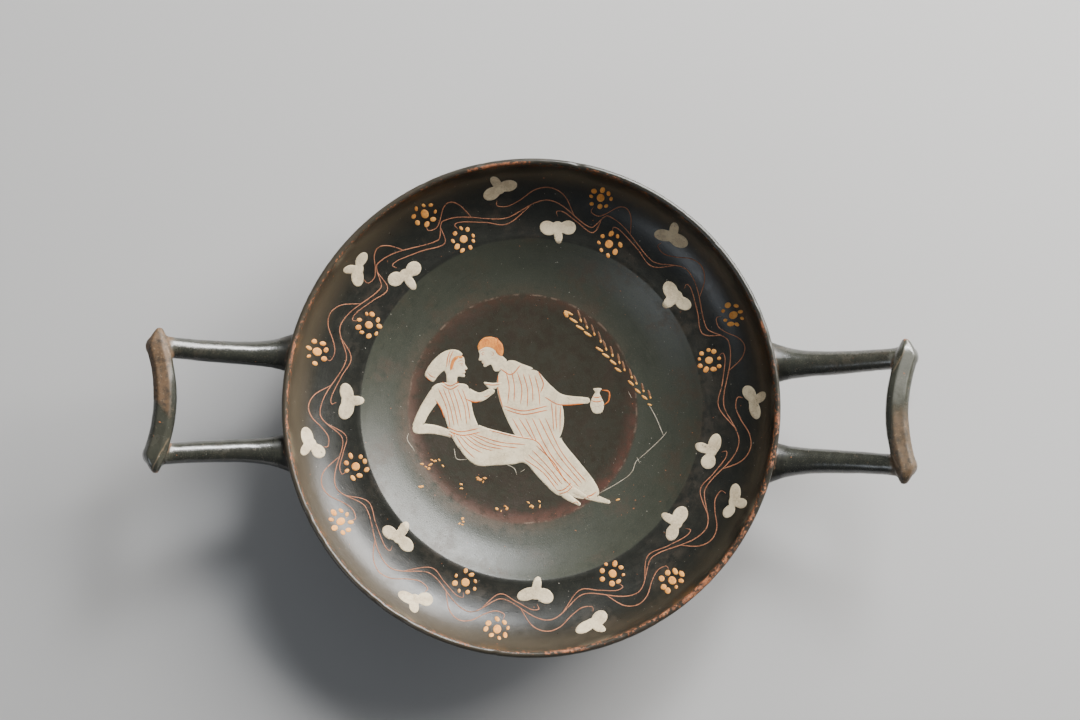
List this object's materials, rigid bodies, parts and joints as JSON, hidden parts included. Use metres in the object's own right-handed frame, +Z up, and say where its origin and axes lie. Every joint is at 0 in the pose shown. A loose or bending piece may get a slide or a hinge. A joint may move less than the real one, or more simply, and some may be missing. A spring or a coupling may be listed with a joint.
{
  "type": "stemless kylix",
  "caption": "Wide shallow black-gloss drinking cup with an offset lip, a low ring foot and squared, eared side handles that rise above the rim.",
  "frame": {"origin": "centre of the foot ring, on the plane that the cup stands on", "axes": "+Z up along the turning axis; +X along the line of the two handles; +Y across them"},
  "size_m": [0.3704, 0.24, 0.0761],
  "materials": {
    "fired_clay": "black gloss slip with an olive sheen over orange fired clay, worn at the rim and handles"
  },
  "bodies": {
    "root": {"kylix_cup": "fired_clay"}
  },
  "joints": []
}
